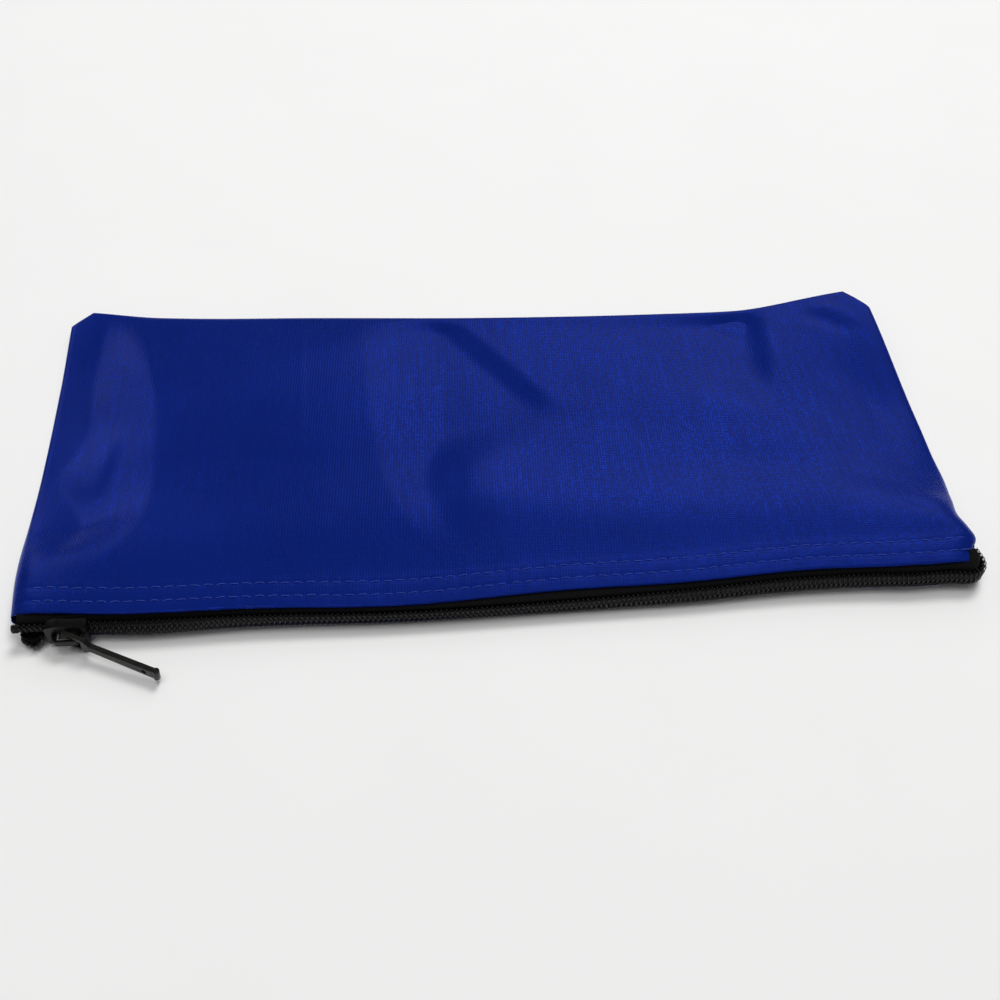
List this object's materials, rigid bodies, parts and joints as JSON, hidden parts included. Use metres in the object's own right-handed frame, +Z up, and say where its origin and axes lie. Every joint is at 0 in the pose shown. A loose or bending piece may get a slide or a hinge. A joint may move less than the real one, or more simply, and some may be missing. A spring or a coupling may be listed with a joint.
{
  "type": "cash deposit bag",
  "caption": "Flat rectangular cloth pouch with a coil zipper along one long edge, a metal slider and a long narrow pull.",
  "frame": {"origin": "centre of the underside that the bag rests on", "axes": "+X along the zipper from its closed end to its open end, +Y from the mouth to the bottom seam, +Z up"},
  "size_m": [0.28, 0.1435, 0.011],
  "materials": {
    "cloth": "coated nylon weave with a soft sheen",
    "tape": "woven black tape",
    "coil": "black nylon monofilament",
    "core_cord": "black twisted cord",
    "coil_thread": "black sewing thread",
    "blue_thread": "blue sewing thread",
    "slider_metal": "black painted die-cast zinc, worn lighter along its edges",
    "spring_steel": "bare spring steel"
  },
  "bodies": {
    "lower_side": {"lower_panel": "cloth", "lower_tape": "tape", "lower_coil": "coil", "lower_core_cord": "core_cord", "lower_coil_stitching": "coil_thread", "lower_front_topstitch": "blue_thread", "lower_rear_topstitch": "blue_thread", "left_side_seam": "blue_thread", "right_side_seam": "blue_thread", "bottom_seam": "blue_thread"},
    "upper_side": {"upper_panel": "cloth", "upper_tape": "tape", "upper_coil": "coil", "upper_core_cord": "core_cord", "upper_coil_stitching": "coil_thread", "upper_front_topstitch": "blue_thread", "upper_rear_topstitch": "blue_thread"},
    "slider": {"slider_body": "slider_metal", "slider_crown": "slider_metal", "lock_spring": "spring_steel"},
    "pull": {"pull_tab": "slider_metal"}
  },
  "joints": [
    {"name": "slider_slide", "type": "slide", "parent": "lower_side", "child": "slider", "axis": [1, 0, 0], "range_m": [0, 0.248]},
    {"name": "mouth_opening", "type": "hinge", "parent": "lower_side", "child": "upper_side", "pos_m": [0, 0.0638, 0.00065], "axis": [-1, 0, 0], "range_deg": [0, 13], "deforming": ["upper_tape", "upper_coil", "upper_core_cord", "upper_coil_stitching"]},
    {"name": "pull_swing", "type": "hinge", "parent": "slider", "child": "pull", "pos_m": [-0.1238, -0.06694, 0.0056], "axis": [0.0627, -0.0306, 0.9976], "range_deg": [-152, 24]}
  ],
  "couplings": [
    {"joint": "mouth_opening", "follows": "slider_slide", "rad_per_m": 0.9148}
  ]
}
